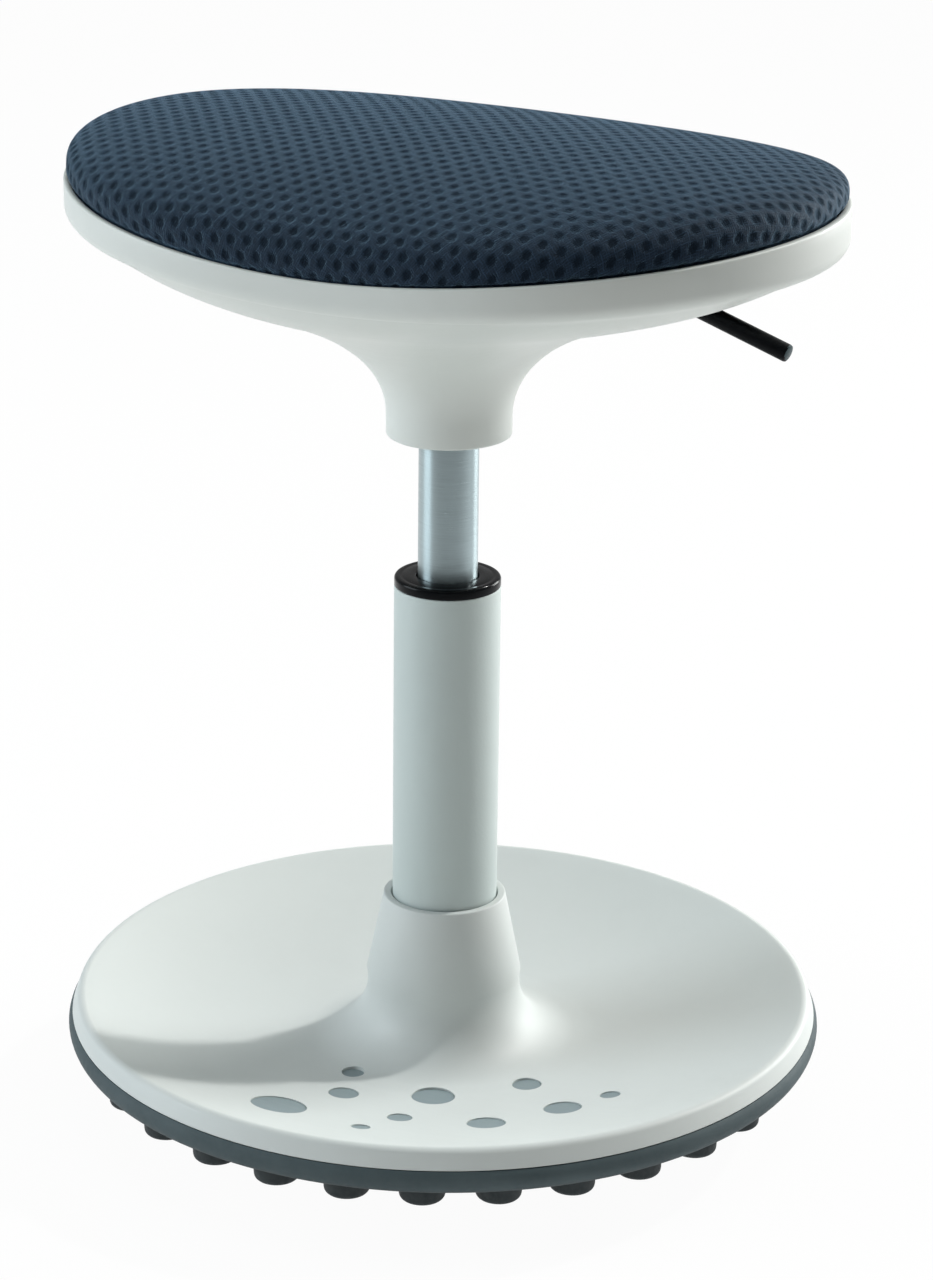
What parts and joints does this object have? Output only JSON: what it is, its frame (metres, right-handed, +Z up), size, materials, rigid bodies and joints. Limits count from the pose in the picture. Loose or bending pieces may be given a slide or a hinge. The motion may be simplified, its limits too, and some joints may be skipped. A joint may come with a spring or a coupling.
{
  "type": "wobble stool",
  "caption": "Height-adjustable wobble stool: a domed base with rubber studs under it, a gas-spring column and a padded saddle-shaped seat with a release lever.",
  "frame": {"origin": "centre of the base at floor level, on the column's axis", "axes": "+Z up along the column; +X along the release lever and the seat's long direction; -Y towards the low long edge of the seat"},
  "size_m": [0.3696, 0.363, 0.474],
  "materials": {
    "rubber": "matt moulded rubber",
    "white_plastic": "off-white satin plastic",
    "grey_plastic": "grey-blue matt plastic",
    "black_plastic": "black nylon",
    "bush_plastic": "glossy black plastic",
    "column_paint": "off-white powder coat on steel",
    "bright_steel": "satin plated steel",
    "dark_steel": "dark oiled steel",
    "lever_black": "black coated steel rod",
    "plywood": "bare birch plywood",
    "foam": "cream flexible foam",
    "mesh_fabric": "dark blue-grey spacer mesh"
  },
  "bodies": {
    "base": {"base_tread": "rubber", "base_frame": "black_plastic", "ballast_ring": "dark_steel", "base_cover": "white_plastic", "dot_inlay": "grey_plastic", "cover_screw_1": "dark_steel", "cover_screw_2": "dark_steel", "cover_screw_3": "dark_steel", "cover_screw_4": "dark_steel", "cover_screw_5": "dark_steel", "cover_screw_6": "dark_steel", "column_tube": "column_paint", "guide_bush": "bush_plastic", "thrust_washer_lower": "bright_steel"},
    "cage": {"ball_cage": "black_plastic", "thrust_ball_1": "bright_steel", "thrust_ball_2": "bright_steel", "thrust_ball_3": "bright_steel", "thrust_ball_4": "bright_steel", "thrust_ball_5": "bright_steel", "thrust_ball_6": "bright_steel", "thrust_ball_7": "bright_steel", "thrust_ball_8": "bright_steel"},
    "rod": {"piston_rod": "bright_steel", "piston": "black_plastic", "thrust_washer_upper": "bright_steel", "bump_stop": "rubber", "rod_clip": "dark_steel"},
    "seat": {"pressure_tube": "bright_steel", "rod_guide": "bright_steel", "rod_seal": "black_plastic", "valve_body": "dark_steel", "mechanism_plate": "dark_steel", "plate_screw_1": "dark_steel", "plate_screw_2": "dark_steel", "plate_screw_3": "dark_steel", "plate_screw_4": "dark_steel", "pivot_pin": "bright_steel", "seat_shell": "white_plastic", "seat_board": "plywood", "board_screw_1": "dark_steel", "board_screw_2": "dark_steel", "board_screw_3": "dark_steel", "board_screw_4": "dark_steel", "foam_pad": "foam", "seat_cover": "mesh_fabric"},
    "lever": {"release_rocker": "dark_steel", "release_lever": "lever_black"},
    "button": {"valve_button": "bright_steel"}
  },
  "joints": [
    {"name": "seat_swivel", "type": "hinge", "parent": "base", "child": "rod", "pos_m": [0, 0, 0.0309], "axis": [0, 0, 1], "continuous": true},
    {"name": "cage_turn", "type": "hinge", "parent": "base", "child": "cage", "pos_m": [0, 0, 0.0269], "axis": [0, 0, 1], "continuous": true},
    {"name": "seat_height", "type": "slide", "parent": "rod", "child": "seat", "axis": [0, 0, 1], "range_m": [-0.062, 0.067]},
    {"name": "lever_lift", "type": "hinge", "parent": "seat", "child": "lever", "pos_m": [0.028, 0, 0.4038], "axis": [0, -1, 0], "range_deg": [0, 6], "stiffness_Nm_per_rad": 3, "springref_deg": -6.88},
    {"name": "valve_press", "type": "slide", "parent": "seat", "child": "button", "axis": [0, 0, -1], "range_m": [0, 0.0031]}
  ],
  "couplings": [
    {"joint": "cage_turn", "follows": "seat_swivel", "ratio": 0.5},
    {"joint": "valve_press", "follows": "lever_lift", "m_per_rad": 0.029}
  ]
}
